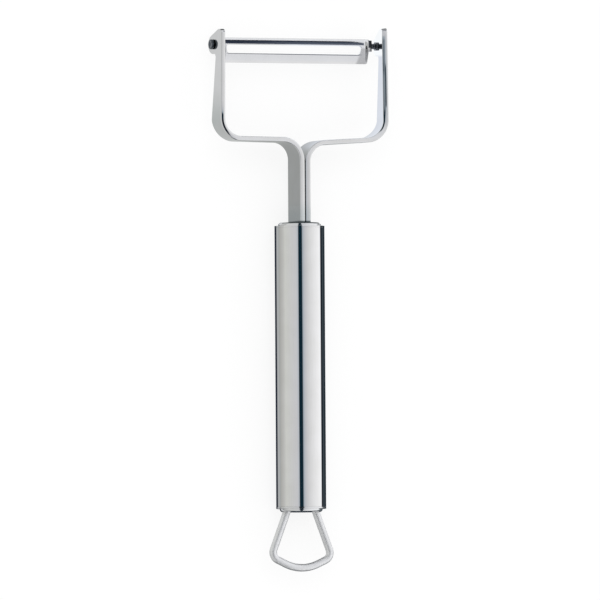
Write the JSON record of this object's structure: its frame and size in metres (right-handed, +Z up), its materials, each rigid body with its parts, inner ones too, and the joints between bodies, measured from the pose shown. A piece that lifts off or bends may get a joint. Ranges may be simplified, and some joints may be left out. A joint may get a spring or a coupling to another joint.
{
  "type": "vegetable peeler",
  "caption": "Swivel vegetable peeler of polished steel with a round handle, a fork of bent strips, a slotted swinging blade and a wire hanging loop.",
  "frame": {"origin": "under the middle of the peeler as it lies on its back, at the height of the lowest line of its round handle", "axes": "+Y from the hanging loop to the head along the handle's axis, +Z up, from the back to the front that faces the user, +X to the right as the user sees the front with the head up"},
  "size_m": [0.0684, 0.1957, 0.018],
  "materials": {
    "polished_steel": "stainless steel polished to a mirror",
    "ground_steel": "ground and polished blade steel",
    "turned_steel": "turned"
  },
  "bodies": {
    "handle": {"handle_tube": "polished_steel", "handle_top_cap": "polished_steel", "handle_end_cap": "polished_steel", "fork_strip_left": "polished_steel", "fork_strip_right": "polished_steel", "pivot_pin_left": "turned_steel", "pivot_pin_right": "turned_steel", "hanging_loop": "polished_steel"},
    "blade": {"blade": "ground_steel"}
  },
  "joints": [
    {"name": "blade_swivel", "type": "hinge", "parent": "handle", "child": "blade", "pos_m": [0, 0.0916, 0.0082], "axis": [1, 0, 0], "range_deg": [-35, 35]}
  ]
}
